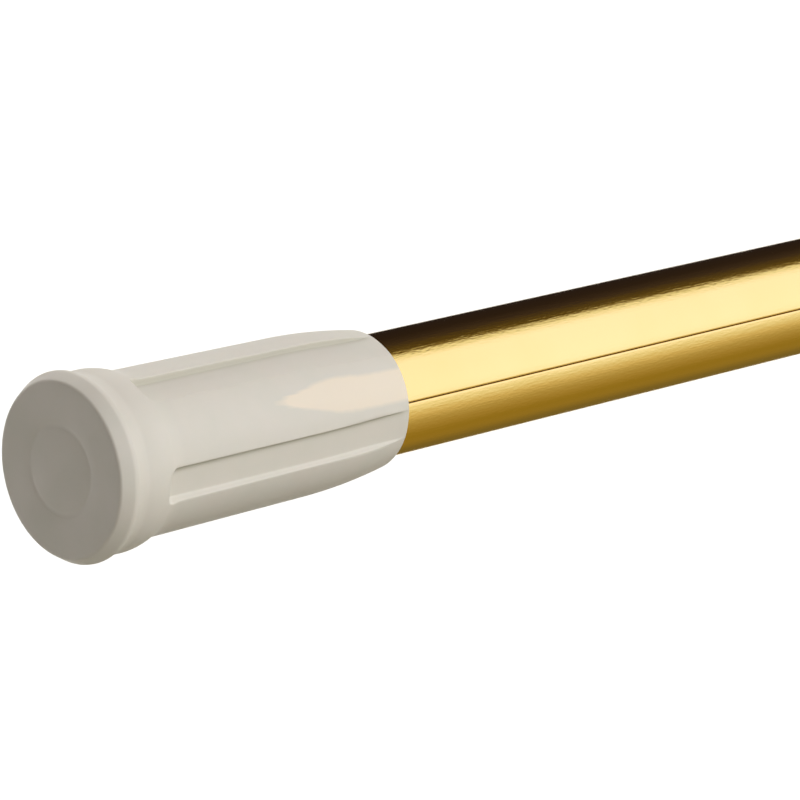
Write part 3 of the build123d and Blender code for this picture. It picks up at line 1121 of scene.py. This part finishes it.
@dataclass(frozen=True)
class Studio:
    """A plain pale floor, soft lamps and an even room, with a tent that only gloss sees. Metres.

    The tent is the curved card that a photographer puts round polished metal. Its stops go round
    the rod, in degrees up from straight ahead, with the colour of the card there: a dark flag
    behind and above, a white soft box in front, and a warm table below.
    """

    floor_at: float = -0.8
    floor_size: float = 60.0
    floor_colour: str = "#AEAEAA"
    floor_lift: float = 0.7
    room_colour: str = "#FFF3E9"
    room_level: float = 0.218
    key_level: float = 2.03
    key_from: Triple = (0.33, -0.78, 0.56)
    rim_level: float = 2.3
    rim_from: Triple = (0.2, 0.8, 0.55)
    lamp_angle: float = 38.0
    tent_radius: float = 0.74
    tent_ends: Pair = (-2.5, 4.5)
    tent_level: float = 1.345
    tent_facets: int = 96
    tent_stops: tuple[tuple[float, str], ...] = (
        (-135.0, "#6C5D2D"),
        (-109.0, "#6C5D2D"),
        (-85.0, "#88732E"),
        (-69.0, "#877227"),
        (-54.0, "#988342"),
        (-41.0, "#A6955A"),
        (-28.0, "#C7B782"),
        (-16.0, "#DEDBBB"),
        (-4.0, "#F8F7EE"),
        (10.0, "#FFFFFF"),
        (66.0, "#FBFBFB"),
        (79.0, "#DDDBB9"),
        (84.0, "#7C6C38"),
        (88.0, "#4E3F16"),
        (95.0, "#4B3E1C"),
        (108.0, "#352B24"),
        (126.0, "#271E19"),
        (174.0, "#211A19"),
    )

    def seen_as_background(self, tree: bpy.types.NodeTree) -> bpy.types.NodeSocket:
        """Finds where the camera, gloss or glass looks at the background.

        Args:
            tree: The node tree that asks.

        Returns:
            One for such rays and none for the light that falls on the object.
        """
        path = add_node(tree, "LightPath")
        glossy = add_node(
            tree,
            "Math",
            {"operation": "MAXIMUM"},
            {0: path.outputs["Is Camera Ray"], 1: path.outputs["Is Glossy Ray"]},
        ).outputs[0]
        return add_node(
            tree,
            "Math",
            {"operation": "MAXIMUM"},
            {0: glossy, 1: path.outputs["Is Transmission Ray"]},
        ).outputs[0]

    def add_stage(
        self, mesh: bmesh.types.BMesh, name: str, material: bpy.types.Material
    ) -> bpy.types.Object:
        """Puts up a floor or card that isn't part of the rod.

        Args:
            mesh: Its mesh, in place. It is freed.
            name: Its name.
            material: What it is made of.

        Returns:
            The new object.
        """
        data = bpy.data.meshes.new(name)
        mesh.to_mesh(data)
        mesh.free()
        data.shade_smooth()
        data.materials.append(material)
        made = bpy.data.objects.new(name, data)
        bpy.context.scene.collection.objects.link(made)
        return made

    def build_room(self) -> None:
        """Lights the room evenly, with a white background."""
        world = bpy.data.worlds.new("even_room")
        bpy.context.scene.world = world
        world.use_nodes = True
        tree = world.node_tree
        tree.nodes.clear()
        seen = self.seen_as_background(tree)
        strength = add_node(tree, "MapRange", inputs={0: seen, 3: self.room_level, 4: 1.0})
        colour = add_node(
            tree,
            "Mix",
            {"data_type": "RGBA"},
            {0: seen, 6: linear(self.room_colour), 7: linear("#FFFFFF")},
        )
        background = add_node(
            tree, "Background", inputs={0: colour.outputs[2], 1: strength.outputs[0]}
        )
        add_node(tree, "OutputWorld", inputs={0: background.outputs[0]})

    def build_floor(self) -> None:
        """Lays the floor, which is pale and keeps the rod's shadow."""
        mesh = bmesh.new()
        bmesh.ops.create_grid(mesh, x_segments=1, y_segments=1, size=self.floor_size)
        bmesh.ops.translate(mesh, verts=mesh.verts[:], vec=(0, 0, self.floor_at))
        material, tree, output = new_material("studio_paper_matt")
        paper = add_node(tree, "BsdfDiffuse", inputs={0: linear(self.floor_colour)})
        lift = add_node(
            tree,
            "Math",
            {"operation": "MULTIPLY"},
            {0: self.seen_as_background(tree), 1: self.floor_lift},
        ).outputs[0]
        glow = add_node(tree, "Emission", inputs={0: (1, 1, 1, 1), 1: lift})
        both = add_node(tree, "AddShader", inputs={0: paper.outputs[0], 1: glow.outputs[0]})
        tree.links.new(both.outputs[0], output.inputs[0])
        self.add_stage(mesh, "studio_floor", material)

    def build_lamp(self, name: str, level: float, place: Triple) -> None:
        """Hangs a soft lamp far off, so that its light is even along the rod.

        Args:
            name: The lamp's name.
            level: How bright it is.
            place: The direction that it shines from.
        """
        data = bpy.data.lights.new(name, "SUN")
        data.energy = level
        data.angle = radians(self.lamp_angle)
        lamp = bpy.data.objects.new(name, data)
        lamp.rotation_euler = Vector(place).to_track_quat("Z", "Y").to_euler()
        lamp.visible_glossy = False
        bpy.context.scene.collection.objects.link(lamp)

    def tent_finish(self) -> bpy.types.Material:
        """Makes the tent's cloth, whose colour changes round the rod.

        Returns:
            A glow with the tent's stops.
        """
        first, last = self.tent_stops[0][0], self.tent_stops[-1][0]
        material, tree, output = new_material("tent_cloth_lit")
        place = add_node(tree, "TexCoord").outputs["Object"]
        parts = add_node(tree, "SeparateXYZ", inputs={0: place}).outputs
        ahead = add_node(tree, "Math", {"operation": "MULTIPLY"}, {0: parts[1], 1: -1.0})
        turn = add_node(
            tree, "Math", {"operation": "ARCTAN2"}, {0: parts[2], 1: ahead.outputs[0]}
        )
        share = add_node(
            tree,
            "MapRange",
            inputs={0: turn.outputs[0], 1: radians(first), 2: radians(last)},
        )
        ramp = add_node(tree, "ValToRGB", inputs={0: share.outputs[0]})
        stops = ramp.color_ramp.elements
        while len(stops) < len(self.tent_stops):
            stops.new(0.5)
        for stop, (angle, colour) in zip(stops, self.tent_stops):
            stop.position = (angle - first) / (last - first)
            stop.color = linear(colour)
        glow = add_node(tree, "Emission", inputs={0: ramp.outputs[0], 1: self.tent_level})
        tree.links.new(glow.outputs[0], output.inputs[0])
        return material

    def build_tent(self) -> None:
        """Puts up the tent round the rod, seen by gloss alone."""
        mesh = bmesh.new()
        first, last = (radians(self.tent_stops[end][0]) for end in (0, -1))
        points = [(end / MM, self.tent_radius / MM) for end in self.tent_ends]
        line = draw_line(mesh, points, pi - first)
        spin_about_rod(mesh, line, self.tent_facets, first - last)
        tent = self.add_stage(mesh, "studio_tent", self.tent_finish())
        for ray in ("camera", "diffuse", "transmission", "volume_scatter", "shadow"):
            setattr(tent, "visible_" + ray, False)

    def build(self) -> None:
        """Builds the room, the floor, the lamps and the tent."""
        self.build_room()
        self.build_floor()
        self.build_lamp("key_lamp", self.key_level, self.key_from)
        self.build_lamp("rim_lamp", self.rim_level, self.rim_from)
        self.build_tent()
        bpy.context.scene.view_settings.view_transform = "Standard"
        LOG.info("studio: floor at %.2f m, key %.1f", self.floor_at, self.key_level)


@dataclass(frozen=True)
class PhotoCamera:
    """The photograph's view: a long lens that looks at the cap from above left. Metres."""

    place: Triple = (-0.50469, -0.58926, 0.20783)
    azimuth: float = -45.333
    elevation: float = 14.039
    lens: float = 190.17
    sensor: float = 36.0
    drop: float = 0.00026
    roll: float = 0.4

    def build(self) -> None:
        """Puts the camera up and makes it the scene's."""
        data = bpy.data.cameras.new("photo_camera")
        data.lens = self.lens
        data.sensor_width = self.sensor
        camera = bpy.data.objects.new("photo_camera", data)
        turn = (
            Matrix.Rotation(radians(self.azimuth), 3, "Z")
            @ Matrix.Rotation(radians(90 - self.elevation), 3, "X")
            @ Matrix.Rotation(radians(self.roll), 3, "Z")
        )
        camera.rotation_euler = turn.to_euler()
        camera.location = Vector(self.place) - turn.col[1] * self.drop
        bpy.context.scene.collection.objects.link(camera)
        bpy.context.scene.camera = camera


@dataclass
class CurtainRod:
    """The whole rod: its finishes, its new pieces and its dressed CAD nodes. Millimetres."""

    frame: dict
    length: float = 1067.0
    large_radius: float = 12.7
    large_span: Pair = (4.2, 942.0)
    large_seam: float = 173.8
    small_radius: float = 11.1
    small_span: Pair = (130.8, 1062.8)
    small_seam: float = 60.0
    small_beads: Pair = (136.8, 253.4)
    finishes: dict[Slot, bpy.types.Material] = field(default_factory=dict)

    def make_finishes(self) -> None:
        """Makes one material for each slot."""
        self.finishes = {
            Slot.BRASS: BrassPlate().build(),
            Slot.VINYL: SoftVinyl().build(),
            Slot.WHITE: MouldedPlastic("acetal_white_moulded", "#E6E4DC", "#DCD9CF", 0.42).build(),
            Slot.GREY: MouldedPlastic("nylon_grey_moulded", "#8A8D90", "#7C8083", 0.45).build(),
            Slot.BLACK: MouldedPlastic("nylon_black_moulded", "#2B2B2D", "#232325", 0.5).build(),
            Slot.ZINC: PlainSteel("steel_zinc_plated", "#C9CCD0", "#B4B8BE", 0.3).build(),
            Slot.SPRING: PlainSteel("spring_steel_drawn", "#8E8F92", "#77787C", 0.34).build(),
        }

    def build(self) -> None:
        """Builds every new piece and dresses the CAD nodes that stay."""
        self.make_finishes()
        brass, vinyl = self.finishes[Slot.BRASS], self.finishes[Slot.VINYL]
        EndCap("large_cap_vinyl", "large_cap", Body.OUTER, self.large_radius).build(vinyl)
        EndCap(
            "small_cap_vinyl",
            "small_cap",
            Body.INNER,
            self.small_radius,
            wall_at=self.length,
            turned=True,
        ).build(vinyl)
        RolledTube(
            "large_tube_rolled",
            "large_tube",
            Body.OUTER,
            self.large_radius,
            *self.large_span,
            self.large_seam,
        ).build(brass)
        RolledTube(
            "small_tube_rolled",
            "small_tube",
            Body.INNER,
            self.small_radius,
            *self.small_span,
            self.small_seam,
            bead_places=self.small_beads,
        ).build(brass)
        MouthBush().build(self.finishes[Slot.WHITE])
        CoilSpring().build(self.finishes[Slot.SPRING])
        FrameNodes().dress(self.frame, self.finishes)


def main() -> None:
    """Loads the frame and builds the rod, the camera and the studio."""
    logging.basicConfig(level=logging.INFO, format="%(name)s: %(message)s")
    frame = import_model()
    CurtainRod(frame).build()
    PhotoCamera().build()
    Studio().build()


if __name__ == "__main__":
    main()
